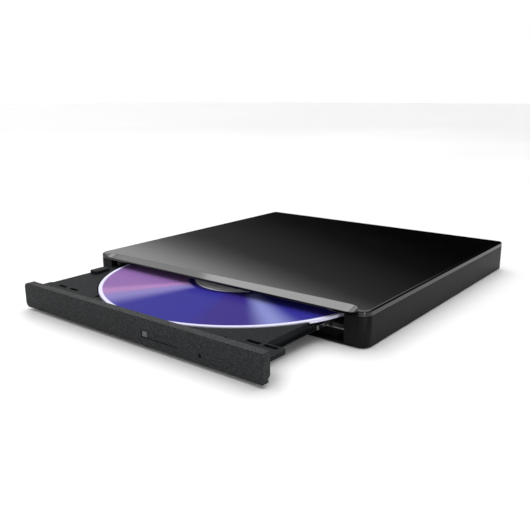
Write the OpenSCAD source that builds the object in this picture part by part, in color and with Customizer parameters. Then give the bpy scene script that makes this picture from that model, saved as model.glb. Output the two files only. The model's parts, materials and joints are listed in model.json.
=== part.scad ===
// Slim external optical disc drive with its tray standing part way open and a disc on the hub.
// X runs along the front, +Y to the back, +Z up. The origin is on the surface that the drive
// stands on, at the middle of the whole object's length and width. Lengths are millimetres.

/* [Outer case] */
// Width of the case
case_w = 144; // [140:1:160]
// Depth of the case
case_d = 137.5; // [136:0.5:160]
// Height of the case, feet included
case_h = 14; // [14:0.5:18]
// Plan radius of the case's front corners
corner_r = 4; // [3:0.5:6]
// Plan radius of the case's back corners
back_corner_r = 2; // [2:0.5:4]
// Thickness of the case's side and back walls
wall_t = 1.4; // [1:0.1:1.8]
// Thickness of the case's floor
floor_t = 1; // [0.8:0.1:1.2]
// Thickness of the case's top
top_t = 1.3; // [1:0.1:1.4]
// Height of the seam between the two halves of the case
seam_z = 11.6; // [11.4:0.1:11.6]
// How far the feet stand out of the floor
foot_h = 0.4; // [0.2:0.1:0.6]

/* [Tray] */
// How far the tray stands open as drawn
tray_out = 45; // [0:1:120]
// Width of the bezel
bezel_w = 125.2; // [120:0.2:125.4]
// Thickness of the bezel
bezel_t = 3.4; // [3:0.1:3.6]
// Length of the tray behind the front of the bezel
tray_len = 120.5; // [119:0.5:120.5]
// Height of the tray's deck
deck_z = 8.9; // [8.8:0.1:9.2]

/* [Disc and hub] */
// Diameter of the disc
disc_d = 120; // [80, 120]
// Thickness of the disc
disc_t = 1.2; // [1.1:0.1:1.3]
// Distance of the disc's centre from the front of the bezel
disc_back = 64.5; // [64.5:0.5:66]
// Angle of the pickup's path, from straight back towards the left
sled_angle = 45; // [44:1:46]
// Radius on the disc at which the lens is parked
lens_home = 23.5; // [23:0.5:26]

/* [Hidden] */
$fn = 48;
hull_fn = 32;

cut = 0.5; // how far a cutting tool runs past the face that it opens

// Where the two moving frames start: the front of the case, and the front of the bezel
front_y = -(case_d - tray_out) / 2;
bezel_y = front_y - tray_out;
disc_y = bezel_y + disc_back;

// Heights of the outer case
floor_z = foot_h + floor_t;
rim_z = seam_z + 0.1;
mouth_w = bezel_w + 0.8;
top_bevel = 0.7;

// The drive's steel chassis, which is a standard slim drive 9.5 mm high and 127 mm deep
sheet = 0.5;
chassis_w = 127;
chassis_y0 = 4;
chassis_y1 = 126.9;
chassis_z0 = floor_z + 0.2;
chassis_floor = chassis_z0 + sheet;
chassis_top = 10.7;
step_x = 46;
step_z = 4.4;
chassis_screw_ys = [30, 110];
chassis_screw_z = 9.7;
flange_t = 0.5;

// The screws that hold the case's halves, with a foot over each
boss_x = case_w / 2 - 5;
boss_ys = [8, case_d - 7];
boss_r = 2.5;
boss_meet_z = 6;
boss_hole_top = 10.5;
foot_r = 3.6;
pocket_z = foot_h + 0.5;

// The rails run in grooves on both sides of the tray
rail_len = 100;
rail_w = 2.2;
rail_h = 1.6;
rail_z = 5.2;
rail_gap = 0.2;
guide_ys = [19, 119];
guide_lip = 0.5;
ledge_z = 5.75;
left_rail_x = -62.2;
right_rail_x = 53;
rail_start = 18;
rail_out = tray_out / 2;

// The tray's outline and hollows, measured back from the front of the bezel
tray_left = -61.2;
tray_right = 54;
lip_x = 62.2;
lip_end = 12.6;
lip_z = 7.5;
well_r = disc_d / 2 + 0.6;
well_z = 7.4;
tray_floor_z = 6.4;
skirt_z = 2.6;
shallow_z = 4.7;
deep_x = 20;
hollow_left = -58.6;
hollow_right = 51.4;
skin = 1.2;
rear_wall_t = tray_len - skin;

// The bezel and its button
bezel_z0 = 1.2;
mouth_relief_z = 0.95;
bezel_z1 = 11.4;
bezel_skin = 1.6;
button_x0 = 11.3;
button_x1 = 26;
button_z0 = 4.4;
button_z1 = 6.6;
window_x0 = 8.5;
window_x1 = 11.1;
slot_gap = 0.2;
button_rest = 0.2;
switch_x = 23.2;
pin_hole = [36.3, 4.2];
pin_hole_r = 0.75;

// The disc sits on the turntable's rubber
disc_z = 8;
plate_z = disc_z - 1;
hub_r = 7.35;
hub_bore_r = 1;
claw_w = 2.8;
claw_home = 4.6;

// The pickup's path: u runs across it, v along it from the spindle
shaft_z = 4.6;
shaft_r = 1;
shaft_gap = 0.05;
main_u = -16;
sub_u = 14.5;
screw_u = -19.8;
screw_r = 1.1;
frame_z = 3;
frame_t = 1;
lens_z = disc_z - 1.4;
dampers = [[-12, -20], [19, 40], [-24.5, 38]];
damper_r = 2.6;

// The latch turns on a pin under the tray and hooks behind a post on the chassis
post = [39, 14];
post_r = 1.2;
latch_pin = [35.9, 26];
latch_pin_r = 0.9;
latch_z = 3.2;
latch_t = 1.2;
latch_free = 15;
latch_pull = 2.3;
solenoid_x = 27.3;
solenoid_z = 4.2;

// The push-out plunger and its coil spring
plunger = [-57.2, 4.4];
plunger_r = 1;

// The flat cable: its run on the chassis floor, its bend and its run under the tray
flex_x0 = 25;
flex_w = 10;
flex_t = 0.2;
flex_r = 1.15;
flex_z = chassis_floor + 0.1;
flex_run = 143;
flex_fixed_y = 121.2;
flex_moving_y = 112 - tray_out;
flex_bend_y = (flex_fixed_y + flex_moving_y - flex_run) / 2;

// The bridge board behind the drive
link_x = 15;
link_w = 30;
link_top = 7.2;
board_z = 3.4;
board_t = 1;
board_x0 = 10;
board_x1 = 64;
board_y0 = 127.4;
board_y1 = case_d - wall_t - 0.2;
board_holes = [[13, 133.5], [61.6, 133.5]];
usb_x = 53;
usb_w = 7.7;
usb_h = 3.9;
usb_len = 9.2;
usb_wall = 0.35;
usb_z = board_z + board_t;

// ---------------------------------------------------------------- shared shapes

// Puts what is drawn from the front of the case into place
module in_case() { translate([0, front_y, 0]) children(); }

// Puts what is drawn from the front of the bezel into place
module on_tray() { translate([0, bezel_y, 0]) children(); }

// Puts what is drawn about the spindle, with +Y along the pickup's path, into place
module on_sled() { translate([0, disc_y, 0]) rotate([0, 0, sled_angle]) children(); }

// Puts what is drawn about the spindle into place
module on_spindle() { translate([0, disc_y, 0]) children(); }

// A box from its lowest corner to its highest corner
module block(low, high) { translate(low) cube(high - low); }

// A rectangle from one corner to the other, with round corners
module round_rect(low, high, r) {
    translate(low + [r, 0]) square(high - low - [2 * r, 0]);
    translate(low + [0, r]) square(high - low - [0, 2 * r]);
    for (x = [low[0] + r, high[0] - r], y = [low[1] + r, high[1] - r]) translate([x, y]) circle(r);
}

// A rounded slab from one corner to the other
module round_slab(low, high, r) {
    translate([0, 0, low[2]])
        linear_extrude(high[2] - low[2])
            round_rect([low[0], low[1]], [high[0], high[1]], r);
}

// A cylinder that stands at a point, between two heights
module post_at(p, z0, z1, r) { translate([p[0], p[1], z0]) cylinder(h = z1 - z0, r = r); }

// A cylinder along +Y, at x and z, between two distances
module rod_y(x, z, y0, y1, r) { translate([x, y0, z]) rotate([-90, 0, 0]) cylinder(h = y1 - y0, r = r); }

// The case's outline in plan, inset by a distance
module case_slab(inset, z0, z1) {
    low = [inset - case_w / 2, inset];
    high = [case_w / 2 - inset, case_d - inset];
    translate([0, 0, z0]) linear_extrude(z1 - z0) {
        round_rect(low, [high[0], case_d / 2], corner_r - inset);
        round_rect([low[0], case_d / 4], high, back_corner_r - inset);
    }
}

// A round wire wound as a coil about +Z: its points are worked out along the helix
module coil(r, wire_r, turns, length) {
    sides = 8;
    per_turn = 16;
    rings = turns * per_turn;
    function at(i, j) = let(a = 360 * i / per_turn, b = 360 * j / sides, q = r + wire_r * cos(b))
        [q * cos(a), q * sin(a), wire_r + (length - 2 * wire_r) * i / rings + wire_r * sin(b)];
    points = [for (i = [0:rings], j = [0:sides - 1]) at(i, j)];
    walls = [for (i = [0:rings - 1], j = [0:sides - 1])
        let(a = i * sides + j, b = i * sides + (j + 1) % sides) [a + sides, b + sides, b, a]];
    first = [for (j = [0:sides - 1]) j];
    last = [for (j = [sides - 1:-1:0]) rings * sides + j];
    polyhedron(points, concat(walls, [first, last]));
}

// A cross-head screw that points up, with its head's face at z
module screw_up(z, head_r, head_h, shank_r, length) {
    difference() {
        union() {
            translate([0, 0, z]) cylinder(h = head_h, r = head_r);
            translate([0, 0, z]) cylinder(h = head_h + length, r = shank_r);
        }
        for (a = [0, 90])
            rotate([0, 0, a]) block([-head_r * 0.6, -0.2, z - cut], [head_r * 0.6, 0.2, z + head_h * 0.5]);
    }
}

// ---------------------------------------------------------------- outer case

module top_cover() {
    color("black") in_case() {
        difference() {
            union() {
                hull() {
                    $fn = hull_fn;
                    case_slab(0, rim_z, case_h - top_bevel);
                    case_slab(top_bevel, rim_z, case_h);
                }
                for (x = [-boss_x, boss_x], y = boss_ys)
                    post_at([x, y], boss_meet_z + 0.1, case_h - top_t + 0.1, boss_r);
            }
            case_slab_inside(rim_z - cut, case_h - top_t);
            for (x = [-boss_x, boss_x], y = boss_ys) post_at([x, y], boss_meet_z, boss_hole_top, 1);
        }
        locating_rib();
    }
}

// The hollow under the top, which leaves the screw bosses standing
module case_slab_inside(z0, z1) {
    difference() {
        case_slab(wall_t, z0, z1);
        for (x = [-boss_x, boss_x], y = boss_ys) post_at([x, y], z0 - cut, z1 + cut, boss_r);
    }
}

// The ribs that hang inside the bottom half's side and back walls and line the halves up
module locating_rib() {
    low = 10.4;
    inner = wall_t + 0.15;
    for (side = [-1, 1])
        for (y = [20, 65, 105])
            block([side * (case_w / 2 - inner - 0.4) - 0.4, y, low],
                  [side * (case_w / 2 - inner - 0.4) + 0.4, y + 14, case_h - top_t + 0.1]);
    for (x = [-50, -8, 28])
        block([x, case_d - inner - 0.8, low], [x + 14, case_d - inner, case_h - top_t + 0.1]);
}

module bottom_cover() {
    color([0.13, 0.13, 0.14]) in_case() difference() {
        union() {
            difference() {
                case_slab(0, foot_h, seam_z);
                case_slab(wall_t, floor_z, seam_z + cut);
                block([-mouth_w / 2, -cut, floor_z], [mouth_w / 2, corner_r, seam_z + cut]);
                block([-mouth_w / 2, -cut, mouth_relief_z], [mouth_w / 2, bezel_t + 0.4, floor_z + cut]);
            }
            for (x = [-boss_x, boss_x], y = boss_ys) post_at([x, y], foot_h + 0.2, boss_meet_z, boss_r);
            for (x = [-40, 0, 40]) block([x - 1, 10, floor_z - 0.1], [x + 1, 118, chassis_z0]);
            block([step_x + 1, chassis_y0, floor_z - 0.1], [62.5, 12, step_z - sheet - 0.05]);
            for (p = board_holes) post_at(p, floor_z - 0.1, board_z, 2);
        }
        for (x = [-boss_x, boss_x], y = boss_ys) {
            post_at([x, y], 0, pocket_z, foot_r + 0.1);
            post_at([x, y], 0, 2.1, 2.3);
            post_at([x, y], 0, boss_meet_z + cut, 1.15);
        }
        for (p = board_holes) post_at(p, 2, board_z + cut, 0.75);
        block([usb_x - usb_w / 2 - 0.3, case_d - wall_t - cut, usb_z - 0.3],
              [usb_x + usb_w / 2 + 0.3, case_d + cut, usb_z + usb_h + 0.3]);
    }
}

module rubber_feet() {
    color([0.2, 0.2, 0.2]) in_case()
        for (x = [-boss_x, boss_x], y = boss_ys) post_at([x, y], 0, pocket_z, foot_r);
}

module case_screws() {
    color("silver") in_case()
        for (x = [-boss_x, boss_x], y = boss_ys)
            translate([x, y, 0]) screw_up(pocket_z + 0.1, 2.1, 1.1, 0.95, 6.5);
}

module foam_pads() {
    color("dimgray") in_case()
        for (x = [-42, 34]) block([x, 14, chassis_top + sheet], [x + 8, 116, case_h - top_t]);
}

// ---------------------------------------------------------------- drive chassis

module chassis_base() {
    outer = chassis_w / 2;
    inner = outer - sheet;
    color("silver") in_case() difference() {
        union() {
            block([-outer, chassis_y0, chassis_z0], [-inner, chassis_y1, chassis_top]);
            block([-outer, chassis_y0, chassis_z0], [step_x, chassis_y1, chassis_floor]);
            block([step_x - sheet, chassis_y0, chassis_z0], [step_x, chassis_y1, step_z]);
            block([step_x - sheet, chassis_y0, step_z - sheet], [outer, chassis_y1, step_z]);
            block([inner, chassis_y0, step_z - sheet], [outer, chassis_y1, chassis_top]);
            block([-outer, chassis_y1 - sheet, chassis_z0], [step_x, chassis_y1, chassis_top]);
            block([-outer, chassis_y1 - sheet, step_z - sheet], [outer, chassis_y1, chassis_top]);
        }
        block([link_x - 0.1, chassis_y1 - 2, chassis_floor],
              [link_x + link_w + 0.1, chassis_y1 + cut, link_top + 0.1]);
        for (y = chassis_screw_ys) chassis_screw_hole(y);
    }
}

module chassis_screw_hole(y) {
    translate([-chassis_w / 2 - 5, y, chassis_screw_z])
        rotate([0, 90, 0]) cylinder(h = chassis_w + 10, r = 0.8);
}

module chassis_cover() {
    outer = chassis_w / 2 + flange_t;
    color("gainsboro") in_case() difference() {
        union() {
            block([-outer, chassis_y0, chassis_top], [outer, chassis_y1, chassis_top + sheet]);
            for (side = [-1, 1])
                block([side * (outer - flange_t / 2) - flange_t / 2, chassis_y0, 8.6],
                      [side * (outer - flange_t / 2) + flange_t / 2, chassis_y1, chassis_top + sheet]);
        }
        for (y = chassis_screw_ys) chassis_screw_hole(y);
        for (x = [-30, 30])
            round_slab([x - 12, 96, chassis_top - cut], [x + 12, 104, chassis_top + sheet + cut], 3);
    }
}

module chassis_screws() {
    face = chassis_w / 2 + flange_t;
    color("silver") in_case()
        for (side = [-1, 1], y = chassis_screw_ys)
            translate([side * face, y, chassis_screw_z]) rotate([0, side * 90, 0]) difference() {
                union() {
                    cylinder(h = 0.4, r = 1.4);
                    translate([0, 0, -1.2]) cylinder(h = 1.5, r = 0.75);
                }
                for (a = [0, 90]) rotate([0, 0, a]) block([-0.8, -0.15, 0.2], [0.8, 0.15, 1]);
            }
}

// A guide is a channel: a web, and two lips that hold the outer half of the rail
module rail_guide(web_x0, web_x1, lip_x0, lip_x1) {
    low = rail_z - rail_gap;
    high = rail_z + rail_h + rail_gap;
    block([web_x0, guide_ys[0], low - guide_lip], [web_x1, guide_ys[1], high + guide_lip]);
    block([lip_x0, guide_ys[0], low - guide_lip], [lip_x1, guide_ys[1], low]);
    block([lip_x0, guide_ys[0], high], [lip_x1, guide_ys[1], high + guide_lip]);
}

module left_rail_guide() {
    color([0.2, 0.2, 0.21]) in_case()
        rail_guide(left_rail_x - 0.7, left_rail_x - 0.15, left_rail_x - 0.7, left_rail_x + 0.7);
}

module right_rail_guide() {
    outer = right_rail_x + rail_w;
    color([0.2, 0.2, 0.21]) in_case() {
        rail_guide(outer + 0.15, outer + 2.2, outer - 0.9, outer + 2.2);
        for (y = [24, 66, 108]) block([outer + 2.1, y, step_z], [62.9, y + 6, step_z + 1.2]);
        block([outer + 0.3, chassis_y0 + 0.4, step_z], [62.9, 20, ledge_z]);
    }
}

module latch_post() {
    color("silver") in_case() {
        post_at(post, chassis_floor, 4.5, post_r);
        post_at(post, chassis_floor, chassis_floor + 0.4, 2);
    }
}

// ---------------------------------------------------------------- bridge electronics

module sata_receptacle() {
    color([0.1, 0.1, 0.1]) in_case() difference() {
        block([link_x, 121.2, chassis_floor], [link_x + link_w, chassis_y1, link_top]);
        block([link_x + 2, 124.5, 4.2], [link_x + 13, chassis_y1 + cut, 6.6]);
        block([link_x + 15, 124.5, 4.2], [link_x + 28, chassis_y1 + cut, 6.6]);
    }
}

module sata_plug() {
    color([0.15, 0.15, 0.15]) in_case() {
        block([link_x + 0.5, board_y0 + 0.2, usb_z], [link_x + 29, board_y0 + 5, usb_z + 3.2]);
        block([link_x + 2.3, 124.9, usb_z + 0.4], [link_x + 12.7, board_y0 + 0.3, usb_z + 1.6]);
        block([link_x + 15.3, 124.9, usb_z + 0.4], [link_x + 27.7, board_y0 + 0.3, usb_z + 1.6]);
    }
}

module bridge_board() {
    color("green") in_case() difference() {
        block([board_x0, board_y0, board_z], [board_x1, board_y1, board_z + board_t]);
        for (p = board_holes) post_at(p, board_z - cut, board_z + board_t + cut, 1.1);
    }
}

module bridge_components() {
    low = board_z + board_t;
    color([0.12, 0.12, 0.12]) in_case() {
        block([26, 128.2, board_z - 1.1], [32, 134.2, board_z]);
        block([38, 129, board_z - 0.9], [42, 133, board_z]);
        for (x = [45, 46.4, 47.8]) block([x, 129, low], [x + 0.9, 131, low + 0.8]);
        for (x = [44.5, 46.2]) block([x, 129, board_z - 0.8], [x + 1, 131, board_z]);
        block([33.4, 129.2, board_z - 0.8], [36.6, 131.2, board_z]);
    }
}

module board_screws() {
    top = board_z + board_t;
    color("silver") in_case()
        for (p = board_holes)
            translate([p[0], p[1], top]) rotate([180, 0, 0]) translate([0, 0, -0.9])
                screw_up(0, 1.7, 0.9, 0.7, 2.2);
}

module usb_socket_shell() {
    y0 = case_d - 0.1 - usb_len;
    color("silver") in_case() difference() {
        usb_outline(y0, case_d - 0.1, 0);
        usb_outline(y0 + usb_wall, case_d + cut, usb_wall);
    }
}

// A mini-B outline is a rectangle over a narrower one, joined by short slopes
module usb_outline(y0, y1, inset) {
    half = usb_w / 2 - inset;
    low = usb_z + inset;
    high = usb_z + usb_h - inset;
    translate([usb_x, y1, 0]) rotate([90, 0, 0]) linear_extrude(y1 - y0)
        polygon([[-half + 0.9, low], [half - 0.9, low], [half - 0.9, low + 0.9], [half, low + 1.6],
                 [half, high], [-half, high], [-half, low + 1.6], [-half + 0.9, low + 0.9]]);
}

module usb_socket_insert() {
    y0 = case_d - 0.1 - usb_len + usb_wall;
    color([0.1, 0.1, 0.1]) in_case() {
        usb_outline(y0, y0 + 1.8, usb_wall);
        block([usb_x - 2.4, y0 + 1.7, usb_z + 1.3], [usb_x + 2.4, case_d - 1.8, usb_z + 2]);
    }
}

// The flat cable lies on the chassis floor, turns over once, and runs back under the tray
module flex_cable() {
    mid = flex_z + flex_r;
    color("white") in_case() translate([flex_x0, 0, 0]) {
        block([0, flex_bend_y, flex_z], [flex_w, flex_fixed_y, flex_z + flex_t]);
        block([0, flex_bend_y, flex_z + 2 * flex_r - flex_t], [flex_w, flex_moving_y, flex_z + 2 * flex_r]);
        difference() {
            translate([0, flex_bend_y, mid]) rotate([0, 90, 0]) cylinder(h = flex_w, r = flex_r);
            translate([-cut, flex_bend_y, mid])
                rotate([0, 90, 0]) cylinder(h = flex_w + 2 * cut, r = flex_r - flex_t);
            block([-cut, flex_bend_y, 0], [flex_w + cut, flex_bend_y + 3, 9]);
        }
    }
}

// ---------------------------------------------------------------- rails

module rail(x) {
    y0 = rail_start - rail_out;
    depth = 0.4;
    low = rail_z + rail_h / 4;
    high = rail_z + rail_h * 3 / 4;
    in_case() difference() {
        block([x, y0, rail_z], [x + rail_w, y0 + rail_len, rail_z + rail_h]);
        for (side = [-cut, rail_w - depth])
            block([x + side, y0 + 3, low], [x + side + depth + cut, y0 + rail_len - 3, high]);
    }
}

module left_rail() { color("silver") rail(left_rail_x); }

module right_rail() { color("silver") rail(right_rail_x); }

// ---------------------------------------------------------------- tray

module tray() {
    color([0.16, 0.16, 0.17]) on_tray() {
        difference() {
            union() {
                tray_plate();
                deep_skirt();
            }
            post_at([0, disc_back], well_z, deck_z + cut, well_r);
            tray_hollows();
            rail_grooves();
            pickup_window();
            deck_openings();
        }
        disc_tabs();
        tray_bosses();
        plunger_bracket();
    }
}

// The deck, with its full-width lip behind the bezel
module tray_plate() {
    round_slab([-lip_x, bezel_t, lip_z], [lip_x, lip_end, deck_z], 1.5);
    block([tray_left, bezel_t, shallow_z], [step_x - 1, lip_end + 1, deck_z]);
    round_slab([tray_left, lip_end - 3, shallow_z], [tray_right, tray_len, deck_z], 2);
}

// The deeper part on the left, which holds the mechanism
module deep_skirt() {
    block([tray_left, bezel_t, skirt_z], [deep_x, lip_end, shallow_z + 0.1]);
    round_slab([tray_left, lip_end - 3, skirt_z], [deep_x, tray_len, shallow_z + 0.1], 1.5);
}

module tray_hollows() {
    block([hollow_left, bezel_t + skin, skirt_z - cut], [deep_x - skin, rear_wall_t, tray_floor_z]);
    block([deep_x - skin - cut, bezel_t + skin, skirt_z - cut], [hollow_right, 28, tray_floor_z]);
    block([deep_x, 27, shallow_z - cut], [hollow_right, rear_wall_t, tray_floor_z]);
    block([step_x - 1, bezel_t - cut, skirt_z], [lip_x + cut, lip_end + 0.5, lip_z]);
}

module rail_grooves() {
    low = rail_z - rail_gap;
    high = rail_z + rail_h + rail_gap;
    block([tray_left - cut, lip_end + 0.5, low], [left_rail_x + rail_w + rail_gap, tray_len + cut, high]);
    block([right_rail_x - rail_gap, lip_end + 0.5, low], [tray_right + cut, tray_len + cut, high]);
}

// The window for the hub and the pickup
module pickup_window() {
    post_at([0, disc_back], tray_floor_z - cut, well_z + cut, 17);
    translate([0, disc_back, 0]) rotate([0, 0, sled_angle])
        block([-11, 0, tray_floor_z - cut], [11, 64.5, well_z + cut]);
}

// Slots and pockets in the deck, and the button's way through the front wall
module deck_openings() {
    for (x = [47.2, 54.1]) round_slab([x, 10, lip_z - cut], [x + 5.7, 11.8, deck_z + cut], 0.4);
    for (x = [-55, -47.5, -31]) round_slab([x, 10.4, deck_z - 0.8], [x + 5, 12, deck_z + cut], 0.4);
    block([button_x0 - 3.2, bezel_t - cut, button_z0 - 0.5], [button_x1 + 1, bezel_t + 2, tray_floor_z]);
    rod_y(pin_hole[0], pin_hole[1], bezel_t - cut, bezel_t + 2, 1.1);
    rod_y(plunger[0], plunger[1], rear_wall_t - cut, tray_len + cut, plunger_r + 0.1);
}

// Small raised tabs beside the well, which centre the disc as it is laid in
module disc_tabs() {
    round_slab([tray_left, 31, deck_z - 0.5], [tray_left + 4.5, 39, deck_z + 1.2], 1.4);
    round_slab([tray_left, 92, deck_z - 0.5], [tray_left + 4.5, 98, deck_z + 1.2], 1.4);
    round_slab([36, 7.2, deck_z - 0.5], [40.5, 9.2, deck_z + 0.4], 0.9);
}

module tray_bosses() {
    for (p = shield_holes) difference() {
        post_at(p, skirt_z, tray_floor_z + 0.1, 2);
        post_at(p, skirt_z - cut, 5.6, 0.8);
    }
    for (p = dampers) translate([0, disc_back, 0]) rotate([0, 0, sled_angle]) difference() {
        post_at(p, 5.3, tray_floor_z + 0.1, 1.9);
        post_at(p, 5, 6.2, 0.8);
    }
    post_at(latch_pin, latch_z - 0.3, tray_floor_z + 0.1, latch_pin_r);
}

// The bracket that guides the front of the push-out plunger
module plunger_bracket() {
    difference() {
        block([hollow_left - 0.1, 107.6, skirt_z], [hollow_left + 3.4, 108.8, tray_floor_z + 0.1]);
        rod_y(plunger[0], plunger[1], 107, 110, plunger_r + 0.1);
    }
}

shield_holes = [[-55.5, 9], [15, 9], [-55.5, 60], [15.6, 113]];

module tray_shield() {
    color("silver") on_tray() difference() {
        round_slab([-60, 4.6, 2.3], [deep_x - 0.8, 119.5, skirt_z], 2);
        for (p = shield_holes) post_at(p, 2, 3, 1.7);
        translate([0, disc_back, 0]) rotate([0, 0, sled_angle])
            for (v = [34, 44, 54]) round_slab([-8, v, 2], [8, v + 4, 3], 1.5);
    }
}

module tray_screws() {
    color("silver") on_tray()
        for (p = shield_holes) translate([p[0], p[1], 0]) screw_up(2.25, 1.6, 0.35, 0.75, 2.8);
}

module bezel() {
    half = bezel_w / 2;
    back = bezel_t;
    color([0.14, 0.14, 0.15]) on_tray() difference() {
        bezel_shell(half);
        for (span = [[-half + 1.4, -34], [-32.6, window_x0 - 2], [button_x1 + 2, 45], [46.4, half - 1.4]])
            block([span[0], bezel_skin, bezel_z0 + 1.3], [span[1], back + cut, bezel_z1 - 1.2]);
        block([window_x0 - slot_gap, -cut, button_z0 - slot_gap],
              [button_x1 + slot_gap, back + cut, button_z1 + slot_gap]);
        block([button_x0 - 0.6, 1.8, button_z0 - 0.7], [button_x1 + 0.9, back + cut, button_z1 + 0.7]);
        rod_y(pin_hole[0], pin_hole[1], -cut, back + cut, pin_hole_r);
    }
}

// A plate with round corners on the left, square ones on the right, and a bevelled lower back edge
module bezel_shell(half) {
    r = 2;
    bevel = 1.2;
    difference() {
        translate([0, bezel_t, 0]) rotate([90, 0, 0]) linear_extrude(bezel_t) {
            round_rect([-half, bezel_z0], [half - 4, bezel_z1], r);
            round_rect([-half + 10, bezel_z0], [half, bezel_z1], 0.4);
        }
        translate([-half - cut, bezel_t, bezel_z0]) rotate([45, 0, 0])
            cube([bezel_w + 2 * cut, bevel * sqrt(2), bevel * sqrt(2)]);
        translate([-half - cut, bezel_t - bevel, bezel_z0]) rotate([-45, 0, 0])
            cube([bezel_w + 2 * cut, bevel * 2, bevel]);
    }
}

module led_window() {
    color("white") on_tray()
        block([window_x0, button_rest, button_z0], [window_x1, bezel_t - 0.2, button_z1]);
}

module eject_button() {
    mid = (button_z0 + button_z1) / 2;
    color([0.14, 0.14, 0.15]) on_tray() {
        block([button_x0, button_rest, button_z0], [button_x1, 2.6, button_z1]);
        block([button_x0 - 0.05, 1.9, button_z0 - 0.5], [button_x1 + 0.5, 2.6, button_z1 + 0.5]);
        block([switch_x - 1, 2.5, mid - 1.3], [switch_x + 1, 5.1, mid - 0.5]);
    }
}

module eject_switch() {
    color("gray") on_tray() {
        block([switch_x - 2.4, 6.2, 3.6], [switch_x + 2.4, 8.6, 5.2]);
        rod_y(switch_x, 4.6, 5.7, 6.3, 0.6);
    }
}

module activity_led() {
    color("gold") on_tray() {
        block([9, 5.6, 4.2], [10.8, 7.2, 5.2]);
        rod_y(9.9, 4.8, 5, 5.7, 0.4);
    }
}

module main_board() {
    color("darkgreen") on_tray() difference() {
        block([-24, 5.2, 5.2], [32, 27, 6]);
        post_at(shield_holes[1], 5, 6.5, 2.2);
    }
}

module board_chips() {
    color([0.1, 0.1, 0.1]) on_tray() {
        block([-18, 10, 3.9], [-6, 22, 5.2]);
        block([-1, 12, 4.1], [7, 20, 5.2]);
        block([-4, 24, 4.3], [10, 26.5, 5.2]);
        for (x = [22.5, 25]) block([x, 16, 4.7], [x + 1.6, 17.4, 5.2]);
    }
}

module flex_socket() {
    low = flex_z + 2 * flex_r;
    color("ivory") on_tray()
        block([flex_x0 - 1, 107.5, low], [flex_x0 + flex_w + 1, 112, tray_floor_z]);
}

// ---------------------------------------------------------------- traverse

module traverse_frame() {
    color("dimgray") intersection() {
        on_sled() difference() {
            union() {
                block([-28, -24, frame_z], [22, 66, frame_z + frame_t]);
                shaft_blocks();
            }
            frame_openings();
        }
        on_tray() block([hollow_left + 0.8, 29, 0], [deep_x - skin - 0.6, rear_wall_t - 0.8, 9]);
    }
}

module shaft_blocks() {
    for (v = [11, 61.3])
        block([main_u - 2, v, frame_z], [main_u + 2, v + 2.4, tray_floor_z - 0.3]);
    for (v = [11, 59])
        block([sub_u - 2, v, frame_z], [sub_u + 2, v + 2.4, tray_floor_z - 0.3]);
    block([screw_u - 1.7, 56.6, frame_z], [screw_u + 1.7, 58.2, tray_floor_z - 0.3]);
}

module frame_openings() {
    post_at([0, 0], frame_z - cut, frame_z + frame_t + cut, 13);
    block([main_u + 2.2, 15, frame_z - cut], [sub_u - 2.2, 59, frame_z + frame_t + cut]);
    block([main_u - 1.9, 14.5, frame_z - cut], [main_u + 2.3, 61.1, frame_z + frame_t + cut]);
    block([sub_u - 2.3, 14.5, frame_z - cut], [sub_u + 1.6, 58.7, frame_z + frame_t + cut]);
    block([screw_u - 3, -8.2, frame_z - cut], [screw_u + 3, 7.2, frame_z + frame_t + cut]);
    block([screw_u - 3, 7, frame_z - cut], [screw_u + 2.1, 56.3, frame_z + frame_t + cut]);
    block([-13.8, 58, frame_z - cut], [12.2, 65, frame_z + frame_t + cut]);
    rod_y(main_u, shaft_z, 10, 70, shaft_r);
    rod_y(sub_u, shaft_z, 10, 70, shaft_r);
    rod_y(screw_u, shaft_z, 50, 60, 0.66);
    for (p = dampers) post_at(p, frame_z - cut, frame_z + frame_t + cut, 1.9);
}

module damper_bushes() {
    color([0.25, 0.25, 0.25]) on_sled() for (p = dampers) difference() {
        union() {
            post_at(p, frame_z + frame_t, 5.2, damper_r);
            post_at(p, frame_z - 0.2, frame_z, damper_r);
            post_at(p, frame_z - 0.2, 5.2, 1.85);
        }
        post_at(p, frame_z - cut, 5.2 + cut, 0.9);
    }
}

module damper_screws() {
    color("silver") on_sled()
        for (p = dampers) translate([p[0], p[1], 0]) screw_up(2.62, 1.7, 0.18, 0.75, 3.3);
}

module guide_shaft_main() {
    color("silver") on_sled() rod_y(main_u, shaft_z, 11, 63.7, shaft_r);
}

module guide_shaft_sub() {
    color("silver") on_sled() rod_y(sub_u, shaft_z, 11, 61.4, shaft_r);
}

// The stepper motor is a can with flat top and bottom, and two end plates
module sled_motor() {
    color("silver") on_sled() difference() {
        intersection() {
            rod_y(screw_u, shaft_z, -7, 6, 2.6);
            block([screw_u - 4, -8, shaft_z - 1.75], [screw_u + 4, 7, shaft_z + 1.75]);
        }
        rod_y(screw_u, shaft_z, -5, 7, 0.66);
    }
}

// The screw's thread is drawn as a row of collars, one for each turn
module lead_screw() {
    pitch = 3;
    color("silver") on_sled() {
        rod_y(screw_u, shaft_z, -4.5, 58, 0.6);
        rod_y(screw_u, shaft_z, 8, 56, 0.85);
        for (v = [9:pitch / 2:54]) rod_y(screw_u, shaft_z, v, v + 0.6, screw_r);
    }
}

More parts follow.
